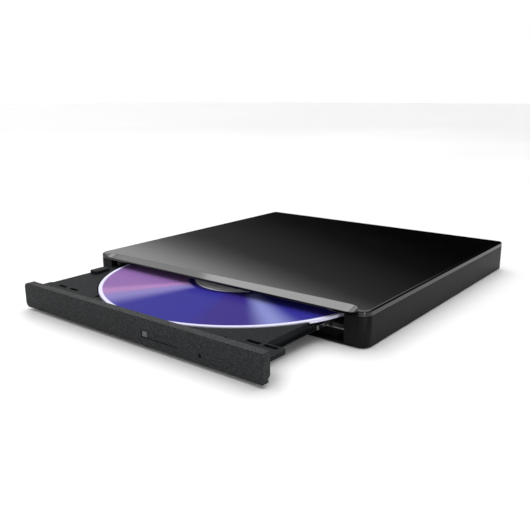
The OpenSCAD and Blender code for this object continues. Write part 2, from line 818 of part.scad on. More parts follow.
module pickup_body() {
    v = lens_home;
    low = 3.1;
    high = 6.1;
    color("gray") on_sled() difference() {
        union() {
            block([-13.5, v - 7, low], [12, v + 6, high]);
            rod_y(main_u, shaft_z, v - 6.5, v + 2.5, 1.65);
            block([main_u, v - 6.5, shaft_z - 0.8], [-13.4, v + 2.5, shaft_z + 0.8]);
            block([11.9, v - 5, 3], [sub_u + 1.2, v, 3.45]);
            block([11.9, v - 5, 5.75], [sub_u + 1.2, v, 6.2]);
        }
        rod_y(main_u, shaft_z, v - 9, v + 9, shaft_r + shaft_gap);
        post_at([0, 0], 0, 9, 17);
        block([-5.5, v - 4.5, 4.2], [5.5, v + 4.5, high + cut]);
        block([-12, v + 1.5, low - cut], [-7, v + 4.5, 4.6]);
        block([7, v - 2, low - cut], [10.5, v + 4.5, 4.6]);
    }
}

module pickup_cover() {
    v = lens_home;
    color("silver") on_sled() difference() {
        block([-9, v - 5.8, 6.1], [9, v + 5.8, 7.2]);
        block([-5, v - 4.7, 6], [5, v + 4.7, 8]);
    }
}

module screw_follower() {
    v = lens_home;
    top = shaft_z + screw_r + 0.1;
    color("ivory") on_sled() difference() {
        block([screw_u - 1.2, v - 6, top], [main_u, v - 2, top + 0.45]);
        rod_y(main_u, shaft_z, v - 7, v, 1.66);
    }
}

module lens_holder() {
    color([0.12, 0.12, 0.12]) on_sled() difference() {
        block([-3.6, lens_home - 3.6, lens_z - 1.7], [3.6, lens_home + 3.6, lens_z]);
        post_at([0, lens_home], lens_z - 2, lens_z + cut, 2);
    }
}

module objective_lens() {
    color("lightblue") on_sled() {
        post_at([0, lens_home], lens_z - 1.2, lens_z, 2);
        translate([0, lens_home, lens_z]) intersection() {
            translate([0, 0, -2.5]) sphere(r = 3.1);
            cylinder(h = 1, r = 1.8);
        }
    }
}

// ---------------------------------------------------------------- spindle

module spindle_base() {
    color("silver") on_spindle() difference() {
        union() {
            post_at([0, 0], 2.65, frame_z, 14.5);
            post_at([0, 0], 2.65, plate_z - 0.8, 2.4);
        }
        post_at([0, 0], frame_z - 0.1, 7, hub_bore_r + 0.05);
    }
}

module stator_coils() {
    poles = 9;
    color("peru") on_spindle() difference() {
        union() {
            post_at([0, 0], 5.1, 5.7, 5);
            for (i = [0:poles - 1]) rotate([0, 0, i * 360 / poles]) {
                block([4, -0.7, 5.1], [11, 0.7, 5.7]);
                block([6, -1.3, 4.6], [9.6, 1.3, 6.2]);
                block([10.4, -2.4, 5.1], [11, 2.4, 5.7]);
            }
        }
        post_at([0, 0], 4, 7, 2.4);
    }
}

module rotor_cup() {
    color("silver") on_spindle() {
        difference() {
            post_at([0, 0], plate_z - 3, plate_z, 12.5);
            post_at([0, 0], plate_z - 4, plate_z - 0.5, 11.9);
        }
        post_at([0, 0], frame_z, plate_z, hub_bore_r);
    }
}

module turntable_hub() {
    color([0.12, 0.12, 0.12]) on_spindle() difference() {
        union() {
            post_at([0, 0], plate_z, plate_z + 0.6, 14.4);
            post_at([0, 0], plate_z + 0.5, plate_z + 2.4, hub_r);
            translate([0, 0, plate_z + 2.4]) cylinder(h = 0.6, r1 = hub_r, r2 = hub_r - 0.7);
        }
        for (a = [90, 210, 330]) rotate([0, 0, a])
            block([3.5, -claw_w / 2 - 0.1, plate_z + 1.4], [hub_r + 1, claw_w / 2 + 0.1, plate_z + 4]);
    }
}

module turntable_pad() {
    color([0.3, 0.3, 0.3]) on_spindle() difference() {
        post_at([0, 0], plate_z + 0.6, disc_z, 14.2);
        post_at([0, 0], plate_z, disc_z + cut, 11.6);
    }
}

module disc() {
    color("mediumslateblue") on_spindle() difference() {
        post_at([0, 0], disc_z, disc_z + disc_t, disc_d / 2);
        post_at([0, 0], disc_z - cut, disc_z + disc_t + cut, 7.5);
    }
}

// A sprung claw: its nose stands over the edge of the disc's hole
module hub_claw(angle) {
    color("ivory") on_spindle() rotate([0, 0, angle]) {
        block([claw_home, -claw_w / 2, plate_z + 1.5], [hub_r - 0.15, claw_w / 2, plate_z + 2.9]);
        block([hub_r - 0.2, -claw_w / 2 + 0.4, disc_z + disc_t + 0.08],
              [hub_r + 0.75, claw_w / 2 - 0.4, plate_z + 2.7]);
    }
}

// ---------------------------------------------------------------- latch and push-out

// The lever is drawn turned clear of the post, with its tail up against the solenoid
module latch_lever() {
    color("ivory") on_tray() translate(latch_pin) rotate([0, 0, -latch_free]) difference() {
        union() {
            translate([0, 0, latch_z]) linear_extrude(latch_t) {
                polygon([[-1.1, 0], [-1.1, -10.6], [-0.3, -11.6], [1.3, -10.5], [4.3, -10.5], [4.3, -9.6],
                         [2.5, -8.7], [1.1, -8.7], [1.1, 0]]);
                circle(2);
                translate([-9.6, -0.6]) square([9.6, 1.6]);
            }
            post_at([0, 0], latch_z, 4.5, 1.6);
        }
        post_at([0, 0], 2, 6, latch_pin_r + 0.06);
    }
}

module latch_spring() {
    color("silver") on_tray() translate([latch_pin[0], latch_pin[1], 4.6]) coil(1.3, 0.18, 4, 1.7);
}

module latch_solenoid() {
    x = solenoid_x;
    color("peru") on_tray() difference() {
        union() {
            rod_y(x, solenoid_z, 31.2, 41.3, 1.95);
            for (y = [30.5, 41.3]) block([x - 3, y, 2.4], [x + 3, y + 0.7, 6.1]);
            block([x - 3, 30.5, 6.1], [x + 3, 42, tray_floor_z]);
        }
        rod_y(x, solenoid_z, 30, 41.6, 1.3);
    }
}

module solenoid_plunger() {
    x = solenoid_x;
    color("silver") on_tray() translate([0, latch_pull, 0]) difference() {
        union() {
            rod_y(x, solenoid_z, 27.7, 36.8, 1.2);
            block([x - 1.6, 23.9, 2.6], [x + 1.6, 28.1, 5]);
        }
        block([x - 2, 24.6, latch_z - 0.2], [x + 2, 27.4, latch_z + latch_t + 0.2]);
    }
}

module eject_plunger() {
    color("ivory") on_tray() {
        rod_y(plunger[0], plunger[1], 107.2, 125.8, plunger_r);
        intersection() {
            rod_y(plunger[0], plunger[1], 118, 119.1, 1.7);
            block([hollow_left + 0.1, 110, 2.7], [-50, 125, 6.3]);
        }
    }
}

module eject_spring() {
    color("silver") on_tray()
        translate([plunger[0], 108.9, plunger[1]]) rotate([-90, 0, 0]) coil(1.2, 0.15, 7, 8.9);
}

// ---------------------------------------------------------------- nodes

top_cover();
bottom_cover();
rubber_feet();
case_screws();
foam_pads();
chassis_base();
chassis_cover();
chassis_screws();
left_rail_guide();
right_rail_guide();
latch_post();
sata_receptacle();
sata_plug();
bridge_board();
bridge_components();
board_screws();
usb_socket_shell();
usb_socket_insert();
flex_cable();
left_rail();
right_rail();
tray();
bezel();
led_window();
eject_button();
eject_switch();
activity_led();
main_board();
board_chips();
flex_socket();
tray_shield();
tray_screws();
traverse_frame();
damper_bushes();
damper_screws();
guide_shaft_main();
guide_shaft_sub();
sled_motor();
lead_screw();
pickup_body();
pickup_cover();
screw_follower();
lens_holder();
objective_lens();
spindle_base();
stator_coils();
rotor_cup();
turntable_hub();
turntable_pad();
disc();
hub_claw(90);  // hub_claw_1
hub_claw(210);  // hub_claw_2
hub_claw(330);  // hub_claw_3
latch_lever();
latch_spring();
latch_solenoid();
solenoid_plunger();
eject_plunger();
eject_spring();
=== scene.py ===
"""A slim external disc drive with its tray standing part way open and a disc on the hub."""

import json
import math

import bmesh
import bpy
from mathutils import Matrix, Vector


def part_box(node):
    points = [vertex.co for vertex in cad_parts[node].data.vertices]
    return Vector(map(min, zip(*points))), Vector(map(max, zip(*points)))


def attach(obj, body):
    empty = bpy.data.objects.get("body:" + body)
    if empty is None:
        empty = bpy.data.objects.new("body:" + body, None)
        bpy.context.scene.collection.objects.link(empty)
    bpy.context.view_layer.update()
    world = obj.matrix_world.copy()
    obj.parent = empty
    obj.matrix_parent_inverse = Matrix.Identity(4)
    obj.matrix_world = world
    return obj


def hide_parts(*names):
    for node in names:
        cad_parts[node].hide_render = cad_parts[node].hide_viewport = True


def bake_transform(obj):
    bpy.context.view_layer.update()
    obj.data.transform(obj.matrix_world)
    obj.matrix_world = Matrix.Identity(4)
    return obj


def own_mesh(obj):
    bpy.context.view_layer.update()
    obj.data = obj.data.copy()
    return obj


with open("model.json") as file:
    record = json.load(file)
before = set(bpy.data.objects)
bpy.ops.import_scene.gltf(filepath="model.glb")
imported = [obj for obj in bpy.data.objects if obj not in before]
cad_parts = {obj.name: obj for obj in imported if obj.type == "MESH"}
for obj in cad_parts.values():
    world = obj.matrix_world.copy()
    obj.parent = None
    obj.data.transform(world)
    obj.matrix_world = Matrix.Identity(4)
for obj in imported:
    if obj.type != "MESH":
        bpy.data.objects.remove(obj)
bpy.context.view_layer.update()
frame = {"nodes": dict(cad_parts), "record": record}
NODES = frame["nodes"]
MM = 0.001

# ---------------------------------------------------------------- places, worked out from the frame

CASE_LOW, CASE_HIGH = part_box("bottom_cover")
TOP_LOW, TOP_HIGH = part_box("top_cover")
BEZEL_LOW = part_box("bezel")[0]
TRAY_LOW, TRAY_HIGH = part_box("tray")
DISC_LOW, DISC_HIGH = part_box("disc")
CASE_MID_X = (CASE_LOW.x + CASE_HIGH.x) / 2
DISC_RADIUS = (DISC_HIGH.x - DISC_LOW.x) / 2
HUB = Vector((0, (DISC_LOW.y + DISC_HIGH.y) / 2, DISC_LOW.z))

# ---------------------------------------------------------------- node helpers for materials


SOCKETS = {
    "color": "Base Color", "rough": "Roughness", "metal": "Metallic", "ior": "IOR",
    "spec": "Specular IOR Level", "transmission": "Transmission Weight",
}


class Graph:
    """Builds one node material, with short calls for the nodes that are used here."""

    def __init__(self, name, **sockets):
        self.material = bpy.data.materials.new(name)
        self.material.use_nodes = True
        self.tree = self.material.node_tree
        self.shader = self.tree.nodes["Principled BSDF"]
        for key, value in sockets.items():
            self.shader.inputs[SOCKETS[key]].default_value = (*value, 1.0) if key == "color" else value

    def node(self, kind, inputs=(), **settings):
        made = self.tree.nodes.new(kind)
        for key, value in settings.items():
            setattr(made, key, value)
        for key, value in dict(inputs).items():
            if hasattr(value, "is_output"):
                self.tree.links.new(value, made.inputs[key])
            else:
                made.inputs[key].default_value = value
        return made

    def link(self, source, key):
        self.tree.links.new(source, self.shader.inputs[key])

    def place(self):
        """The point being shaded, in metres in the object's own frame."""
        return self.node("ShaderNodeTexCoord").outputs["Object"]

    def noise(self, scale, detail=3.0, rough=0.55, vector=None):
        return self.node(
            "ShaderNodeTexNoise",
            {"Vector": vector or self.place(), "Scale": scale, "Detail": detail, "Roughness": rough},
        ).outputs["Fac"]

    def ramp(self, factor, stops, smooth=True):
        """Colours, or plain numbers, at stops along the factor."""
        made = self.node("ShaderNodeValToRGB", {"Fac": factor})
        ramp = made.color_ramp
        ramp.interpolation = "EASE" if smooth else "LINEAR"
        while len(ramp.elements) > 1:
            ramp.elements.remove(ramp.elements[-1])
        for i, (at, color) in enumerate(stops):
            rgb = color if hasattr(color, "__len__") else (color, color, color)
            element = ramp.elements[0] if i == 0 else ramp.elements.new(at)
            element.position = at
            element.color = (*rgb, 1.0)
        return made.outputs["Color"]

    def mix(self, factor, a, b):
        b = b if hasattr(b, "is_output") else (*b, 1.0)
        return self.node("ShaderNodeMix", {"Factor": factor, 6: a, 7: b}, data_type="RGBA").outputs[2]

    def math(self, operation, a, b=0.0):
        return self.node("ShaderNodeMath", {0: a, 1: b}, operation=operation).outputs[0]

    def scaled(self, scale):
        """The point being shaded, stretched along each axis."""
        return self.node("ShaderNodeMapping", {"Vector": self.place(), "Scale": scale}).outputs["Vector"]

    def bump(self, height, strength=0.3, distance=0.0001, normal=None):
        made = self.node("ShaderNodeBump", {"Height": height, "Strength": strength, "Distance": distance})
        if normal is not None:
            self.tree.links.new(normal, made.inputs["Normal"])
        return made.outputs["Normal"]


def grained(name, low, high, rough=(0.5, 0.65), scale=3500, bump=0.25, depth=0.00006, spec=0.12):
    """Moulded plastic with a fine grain: the grain shades the colour, the roughness and the surface."""
    g = Graph(name, spec=spec)
    fine = g.noise(scale, 2.0, 0.6)
    g.link(g.ramp(fine, [(0.3, low), (0.7, high)]), "Base Color")
    g.link(g.ramp(fine, [(0.3, rough[1]), (0.7, rough[0])]), "Roughness")
    g.link(g.bump(fine, bump, depth), "Normal")
    return g.material


def metal(name, color, rough=(0.22, 0.4), scale=(900, 900, 900), bump=0.08):
    """Sheet or turned metal: stretched noise gives the drawn or brushed marks."""
    g = Graph(name, metal=1.0)
    marks = g.noise(1.0, 4.0, 0.6, vector=g.scaled(scale))
    dark, light = [tuple(c * k for c in color) for k in (0.86, 1.08)]
    g.link(g.ramp(marks, [(0.3, dark), (0.7, light)]), "Base Color")
    g.link(g.ramp(marks, [(0.3, rough[1]), (0.7, rough[0])]), "Roughness")
    g.link(g.bump(marks, bump, 0.00005), "Normal")
    return g.material


# ---------------------------------------------------------------- materials


def make_gloss_black():
    """Polished black cover: a faint cloudiness in the polish, and very fine dust in the lacquer."""
    g = Graph("gloss_black", spec=0.5)
    cloud = g.noise(60, 3.0, 0.5)
    dust = g.noise(9000, 2.0, 0.5)
    g.link(g.ramp(cloud, [(0.3, 0.03), (0.7, 0.05)]), "Roughness")
    g.link(g.ramp(dust, [(0.35, (0.001, 0.001, 0.0012)), (0.75, (0.003, 0.003, 0.0034))]), "Base Color")
    g.link(g.bump(dust, 0.04, 0.00002, g.bump(g.noise(25, 2.0, 0.5), 0.015, 0.0002)), "Normal")
    return g.material


def make_satin_black():
    """The lower half of the case: a fine, even spark-eroded finish."""
    g = Graph("satin_black", spec=0.06)
    fine = g.noise(2600, 2.0, 0.6)
    g.link(g.ramp(fine, [(0.3, (0.005, 0.005, 0.0055)), (0.7, (0.009, 0.009, 0.0095))]), "Base Color")
    g.link(g.ramp(fine, [(0.3, 0.4), (0.7, 0.32)]), "Roughness")
    g.link(g.bump(fine, 0.06, 0.00004), "Normal")
    return g.material


# Where the disc's zones change, as shares of its radius: the clear middle ends, the dark ring ends and
# fades out, and the clear rim starts
CLEAR_MIDDLE, DARK_RING, RING_FADED, CLEAR_RIM = 0.333, 0.37, 0.385, 0.972
TRACKS_PER_METRE = 9000.0


def make_disc():
    """The recorded side: colours round the hub that are painted reflection, a dark ring and a clear rim."""
    g = Graph("disc_face", rough=0.3, spec=0.02)
    centred = g.node("ShaderNodeMapping", {"Vector": g.place(), "Location": (-HUB.x, -HUB.y, 0)})
    parts = g.node("ShaderNodeSeparateXYZ", {"Vector": centred.outputs["Vector"]})
    x, y = parts.outputs["X"], parts.outputs["Y"]
    turn = g.math("ADD", g.math("DIVIDE", g.math("ARCTAN2", y, x), 2 * math.pi), 0.5)
    radius = g.math("SQRT", g.math("ADD", g.math("MULTIPLY", x, x), g.math("MULTIPLY", y, y)))

    def at(degrees):
        """Where an angle about the hub, from +X, lies along the ramp."""
        return ((degrees + 180) % 360) / 360

    # The colours by angle round the hub are painted reflection: the rainbow that light throws off the
    # recorded side, put in as colour.
    purple, pink = (0.235, 0.118, 0.335), (0.37, 0.19, 0.42)
    lavender, deep = (0.21, 0.18, 0.44), (0.022, 0.018, 0.24)
    violet, pale = (0.028, 0.014, 0.19), (0.20, 0.22, 0.50)
    painted_reflection_stops = [
        (at(-180), deep), (at(-160), purple), (at(-133), purple), (at(-125), pink), (at(-117), lavender),
        (at(-102), deep), (at(-72), deep), (at(-62), violet), (at(-49), violet), (at(-39), pale),
        (at(-28), deep), (at(0), violet), (at(30), purple), (at(52), pink), (at(60), lavender),
        (at(80), deep), (at(110), deep), (at(120), violet), (at(140), pale), (at(152), deep), (0.999, deep),
    ]
    edge = 0.004
    color = g.ramp(turn, painted_reflection_stops)
    along = g.node("ShaderNodeCombineXYZ", {"X": g.math("MULTIPLY", radius, TRACKS_PER_METRE)})
    tracks = g.math("MULTIPLY", g.noise(1.0, 2.0, 0.5, vector=along.outputs["Vector"]), 0.03)
    color = g.mix(tracks, color, (0.5, 0.5, 0.8))
    share = g.math("DIVIDE", radius, DISC_RADIUS)
    dark = g.ramp(share, [
        (CLEAR_MIDDLE, 0.0), (CLEAR_MIDDLE + edge, 1.0), (DARK_RING, 1.0), (RING_FADED, 0.0)])
    color = g.mix(dark, color, (0.02, 0.015, 0.15))
    clear = g.ramp(share, [(0.0, 1.0), (CLEAR_MIDDLE, 1.0), (CLEAR_MIDDLE + edge, 0.0), (CLEAR_RIM, 0.0),
                           (CLEAR_RIM + 0.005, 1.0)], smooth=False)
    # The clear middle and rim are coloured light grey, lavender towards the rim: painted reflection that
    # stands in for the light seen in clear plastic.
    glass = g.ramp(share, [
        (0.0, (0.62, 0.62, 0.64)), (0.3, (0.72, 0.72, 0.74)), (1.0, (0.70, 0.69, 0.86))])
    g.link(g.mix(clear, color, glass), "Base Color")
    g.link(g.bump(tracks, 0.05, 0.00002), "Normal")
    return g.material


def make_board():
    """Green solder mask, with copper tracks showing through as a lighter pattern."""
    g = Graph("circuit_board", spec=0.5, rough=0.35)
    cells = g.node("ShaderNodeTexVoronoi", {"Vector": g.scaled((900, 900, 900)), "Scale": 1.0},
                   distance="CHEBYCHEV").outputs["Distance"]
    solder = g.ramp(cells, [(0.35, (0.008, 0.10, 0.035)), (0.45, (0.02, 0.17, 0.06))], smooth=False)
    g.link(solder, "Base Color")
    g.link(g.bump(cells, 0.2, 0.00003), "Normal")
    return g.material


def make_foam():
    """Open-cell foam."""
    g = Graph("foam", rough=0.95, spec=0.2)
    cells = g.node("ShaderNodeTexVoronoi", {"Vector": g.place(), "Scale": 2200.0}).outputs["Distance"]
    g.link(g.ramp(cells, [(0.1, 0.012), (0.6, 0.05)]), "Base Color")
    g.link(g.bump(cells, 0.8, 0.0002), "Normal")
    return g.material


def make_rubber():
    """Matt rubber with a fine tooth."""
    g = Graph("foot_rubber", rough=0.8, spec=0.3)
    fine = g.noise(4000, 3.0, 0.7)
    g.link(g.ramp(fine, [(0.3, 0.016), (0.7, 0.032)]), "Base Color")
    g.link(g.bump(fine, 0.3, 0.00005), "Normal")
    return g.material


def make_copper():
    """Enamelled wire: fine turns lie across the coil, painted shade between them, painted highlight on them.
    """
    g = Graph("copper_wire", metal=1.0, rough=0.28)
    turns = g.node("ShaderNodeTexWave", {"Vector": g.place(), "Scale": 1400.0, "Distortion": 0.4},
                   bands_direction="Y").outputs["Fac"]
    # The colour is darker between the turns and lighter along them: painted shade and painted highlight.
    g.link(g.ramp(turns, [(0.2, (0.35, 0.12, 0.045)), (0.8, (0.80, 0.36, 0.16))]), "Base Color")
    g.link(g.bump(turns, 0.6, 0.0001), "Normal")
    return g.material


def make_flex():
    """Clear film, with its conductors showing through as stripes."""
    g = Graph("flex_film", rough=0.3, spec=0.5)
    stripes = g.node("ShaderNodeTexWave", {"Vector": g.place(), "Scale": 320.0},
                     bands_direction="X").outputs["Fac"]
    g.link(g.ramp(stripes, [(0.35, (0.62, 0.66, 0.72)), (0.65, (0.82, 0.84, 0.86))]), "Base Color")
    g.link(g.bump(stripes, 0.25, 0.00004), "Normal")
    return g.material


def make_lens():
    """Faintly blue coated glass."""
    g = Graph("lens_glass", color=(0.75, 0.85, 1.0), rough=0.02, ior=1.52, transmission=0.9)
    g.link(g.ramp(g.noise(800), [(0.4, 0.01), (0.6, 0.03)]), "Roughness")
    return g.material


def make_window():
    """The lamp's window: smoked plastic with the lamp off behind it."""
    g = Graph("clear_window", rough=0.35, spec=0.5)
    fine = g.noise(2500)
    g.link(g.ramp(fine, [(0.3, (0.05, 0.052, 0.055)), (0.7, (0.09, 0.092, 0.095))]), "Base Color")
    g.link(g.bump(fine, 0.1, 0.00003), "Normal")
    return g.material


def make_led():
    """Amber resin."""
    g = Graph("led_resin", rough=0.15, spec=0.6, transmission=0.3)
    g.link(g.ramp(g.noise(1500), [(0.3, (0.7, 0.5, 0.12)), (0.7, (0.85, 0.65, 0.2))]), "Base Color")
    return g.material


MATERIALS = {
    "gloss_black": make_gloss_black(),
    "satin_black": make_satin_black(),
    "foot_rubber": make_rubber(),
    "screw_steel": metal("screw_steel", (0.62, 0.61, 0.58), (0.2, 0.35)),
    "foam": make_foam(),
    "chassis_steel": metal("chassis_steel", (0.56, 0.57, 0.58), (0.28, 0.42), (300, 1200, 1200)),
    "ivory_plastic": grained("ivory_plastic", (0.55, 0.52, 0.42), (0.66, 0.63, 0.53), (0.42, 0.55), 2200,
                             0.1),
    "guide_grey": grained("guide_grey", (0.022, 0.023, 0.024), (0.042, 0.043, 0.044), (0.45, 0.6), 2400,
                          0.15),
    "connector_black": grained("connector_black", (0.012, 0.012, 0.013), (0.026, 0.026, 0.027), (0.4, 0.55)),
    "circuit_board": make_board(),
    "chip_black": grained("chip_black", (0.014, 0.014, 0.015), (0.03, 0.03, 0.031), (0.45, 0.65), 5000),
    "plated_shell": metal("plated_shell", (0.72, 0.72, 0.70), (0.12, 0.25)),
    "flex_film": make_flex(),
    "rail_steel": metal("rail_steel", (0.66, 0.66, 0.66), (0.15, 0.3), (2000, 200, 2000)),
    "tray_grey": grained("tray_grey", (0.006, 0.007, 0.008), (0.014, 0.016, 0.017), (0.42, 0.56), 3200, 0.2,
                         spec=0.04),
    "bezel_grey": grained("bezel_grey", (0.006, 0.0065, 0.007), (0.034, 0.036, 0.038), (0.42, 0.62), 2600,
                          0.5, 0.0001),
    "clear_window": make_window(),
    "led_resin": make_led(),
    "frame_steel": grained("frame_steel", (0.02, 0.02, 0.021), (0.04, 0.04, 0.042), (0.3, 0.45), 1800, 0.15),
    "motor_steel": metal("motor_steel", (0.52, 0.52, 0.53), (0.25, 0.4)),
    "die_cast": metal("die_cast", (0.42, 0.42, 0.43), (0.4, 0.55), (2500, 2500, 2500), 0.3),
    "lens_glass": make_lens(),
    "copper_wire": make_copper(),
    "disc_polycarbonate": make_disc(),
    "spring_wire": metal("spring_wire", (0.6, 0.6, 0.6), (0.2, 0.35), (1500, 1500, 1500)),
}

for part in frame["record"]["subparts"]:
    NODES[part["node"]].data.materials.clear()
    NODES[part["node"]].data.materials.append(MATERIALS[part["material_slot"]])

# ---------------------------------------------------------------- mesh helpers


SHARP_ANGLE = math.radians(32)
BEVEL_ANGLE = math.radians(40)


def add_piece(name, mesh, material, body, replaced=()):
    """Puts a mesh in the scene as a piece that rides on a body and stands for CAD nodes.

    Its wide faces keep their own direction, so that a bevel beside one doesn't tilt its shading."""
    for polygon in mesh.polygons:
        polygon.use_smooth = True
    mesh.set_sharp_from_angle(angle=SHARP_ANGLE)
    mesh.materials.append(MATERIALS[material])
    piece = bpy.data.objects.new(name, mesh)
    bpy.context.scene.collection.objects.link(piece)
    if body:
        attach(piece, body)
    if replaced:
        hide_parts(*replaced)
    level = piece.modifiers.new("flat_faces", "WEIGHTED_NORMAL")
    level.mode = "FACE_AREA"
    level.weight = 100
    level.keep_sharp = True
    return piece


def mesh_from(name, bm):
    """A mesh from what was built, with its faces turned outwards."""
    bmesh.ops.recalc_face_normals(bm, faces=bm.faces)
    mesh = bpy.data.meshes.new(name)
    bm.to_mesh(mesh)
    bm.free()
    return mesh


def bridge(bm, rings, closed=False):
    """Joins each ring of points to the next with quads, and returns the rings' vertices."""
    made = [[bm.verts.new(p) for p in ring] for ring in rings]
    pairs = list(zip(made, made[1:])) + ([(made[-1], made[0])] if closed else [])
    for a, b in pairs:
        for i in range(len(a)):
            j = (i + 1) % len(a)
            bm.faces.new((a[i], a[j], b[j], b[i]))
    return made


def tube(bm, rings):
    """Joins the rings and closes the first and the last."""
    made = bridge(bm, rings)
    bm.faces.new(made[0])
    bm.faces.new(made[-1])


def soften(node, width):
    """Rounds a CAD node's edges by a hair, as moulding and pressing do."""
    piece = NODES[node]
    weld = piece.modifiers.new("weld", "WELD")
    weld.merge_threshold = 0.000002
    bevel = piece.modifiers.new("soft_edges", "BEVEL")
    bevel.width = width * MM
    bevel.segments = 2
    bevel.limit_method = "ANGLE"
    bevel.angle_limit = BEVEL_ANGLE
    bevel.use_clamp_overlap = True
    bevel.harden_normals = True


# ---------------------------------------------------------------- the top cover

COVER_FRONT_R = 4 * MM
COVER_BACK_R = 2 * MM
COVER_WALL = 1.4 * MM
COVER_TOP_T = 1.3 * MM
CORNER_STEPS = 8
FRONT_STEPS = 60
# The sloped band along the front: how deep it is at each end, and how long its round ends are
SLOPE_LEFT = 2.6 * MM
SLOPE_RIGHT = 4.2 * MM
SLOPE_END_LEFT = 9 * MM
SLOPE_END_RIGHT = 6 * MM


def cover_outline(inset, z, front_z=None, sloped=False):
    """The cover's outline at one level, counter-clockwise from the front left corner.

    The front edge may stand at a height of its own, and may lie back along the sloped band."""
    low, high = TOP_LOW, TOP_HIGH
    corners = [
        (low.x, low.y, COVER_FRONT_R, 180), (high.x, low.y, COVER_FRONT_R, 270),
        (high.x, high.y, COVER_BACK_R, 0), (low.x, high.y, COVER_BACK_R, 90),
    ]
    points = []
    for number, (x, y, radius, start) in enumerate(corners):
        middle = Vector((x + (radius if x < 0 else -radius), y + (radius if y == low.y else -radius)))
        kept = radius - inset
        for step in range(CORNER_STEPS + 1):
            a = math.radians(start + step * 90 / CORNER_STEPS)
            points.append((middle.x + kept * math.cos(a), middle.y + kept * math.sin(a)))
        if number == 0:
            first, last = low.x + COVER_FRONT_R, high.x - COVER_FRONT_R
            points += [(first + (last - first) * i / FRONT_STEPS, low.y + inset)
                       for i in range(1, FRONT_STEPS)]
    ring = []
    for x, y in points:
        on_front = y - low.y < COVER_FRONT_R
        share = slope_share(x) if on_front else 0.0
        depth = SLOPE_LEFT + (SLOPE_RIGHT - SLOPE_LEFT) * (x - low.x) / (high.x - low.x)
        level = z if front_z is None else z + (front_z - z) * share
        back = depth * share if sloped else 0.0
        ring.append((x, y + back, level))
    return ring


def slope_share(x):
    """How much of the sloped band there is at x: all of it, but for a round end at each side."""
    left = min(max((x - TOP_LOW.x - COVER_FRONT_R) / SLOPE_END_LEFT, 0), 1)
    right = min(max((TOP_HIGH.x - COVER_FRONT_R - x) / SLOPE_END_RIGHT, 0), 1)
    return math.sqrt(1 - (1 - left) ** 2) * math.sqrt(1 - (1 - right) ** 2)


def build_top_cover():
    """The cover's shell, lofted from its inside rim over the outside to the edge of its flat top."""
    bm = bmesh.new()
    top, rim = TOP_HIGH.z, CASE_HIGH.z + 0.1 * MM
    outer = [
        cover_outline(0.12 * MM, rim), cover_outline(0, rim + 0.12 * MM),
        cover_outline(0, top - 0.75 * MM, rim + 0.75 * MM),
        cover_outline(0.12 * MM, top - 0.5 * MM, rim + 0.95 * MM),
        cover_outline(0.55 * MM, top - 0.08 * MM, top - 0.12 * MM, sloped=True),
        cover_outline(0.85 * MM, top, sloped=True),
    ]
    inner = [cover_outline(COVER_WALL, top - COVER_TOP_T), cover_outline(COVER_WALL, rim)]
    rings = bridge(bm, inner + outer)
    bm.faces.new(rings[-1])
    bm.faces.new(rings[0])
    add_piece("cover_shell", mesh_from("cover_shell", bm), "gloss_black", "case",
              ["top_cover"])


# ---------------------------------------------------------------- the disc

DISC_SEGMENTS = 192


def build_disc():
    """A revolved section: rounded edges, a groove round the hub and a raised step at the clear rim."""
    under = [
        (7.5, 0.12), (7.62, 0), (16.9, 0), (17.1, 0.15), (17.5, 0.15), (17.7, 0), (59.8, 0), (60, 0.15),
    ]
    upper = [
        (60, -0.15), (59.85, 0), (58.75, 0), (58.6, -0.05), (22.2, -0.05), (22.05, 0), (20.1, 0),
        (20, -0.08), (19.8, -0.08), (19.7, 0), (17.7, 0), (17.55, -0.12), (17.05, -0.12), (16.9, 0),
        (7.62, 0), (7.5, -0.12),
    ]
    section = [(r * MM, face + z * MM) for face, points in ((DISC_LOW.z, under), (DISC_HIGH.z, upper))
               for r, z in points]
    bm = bmesh.new()
    rings = []
    for i in range(DISC_SEGMENTS):
        a = 2 * math.pi * i / DISC_SEGMENTS
        rings.append([(HUB.x + r * math.cos(a), HUB.y + r * math.sin(a), z) for r, z in section])
    bridge(bm, rings, closed=True)
    add_piece("disc_layers", mesh_from("disc_layers", bm), "disc_polycarbonate", "spindle",
              ["disc"])


# ---------------------------------------------------------------- small moulded details


def build_eject_mark():
    """A plain raised triangle over a bar, above the button."""
    low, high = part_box("eject_button")
    aside, above = 1 * MM, 2.2 * MM
    proud, sunk = 0.06 * MM, 0.2 * MM
    x, z = (low.x + high.x) / 2 - aside, high.z + above
    front, back = BEZEL_LOW.y - proud, BEZEL_LOW.y + sunk
    shapes = [
        [(-0.9, 0), (0.9, 0), (0, 1.1)],
        [(-0.9, -0.7), (0.9, -0.7), (0.9, -0.35), (-0.9, -0.35)],
    ]
    bm = bmesh.new()
    for shape in shapes:
        tube(bm, [[(x + px * MM, depth, z + pz * MM) for px, pz in shape] for depth in (front, back)])
    add_piece("eject_mark", mesh_from("eject_mark", bm), "bezel_grey", "tray_unit")


# The ribs on the tray's two raised tabs, in millimetres: where each row starts and ends behind the
# bezel's front, how far apart its ribs are, and the outline of one rib
RIB_ROWS = ((31.6, 38.4), (92.6, 97.4))
RIB_PITCH = 1.1
RIB_OUTLINE = [(0, 0), (0.25, 0.12), (0.34, 0), (0.25, -0.12)]
RIB_WIDENING = 2.2
RIB_TIP_SIZE = 0.45


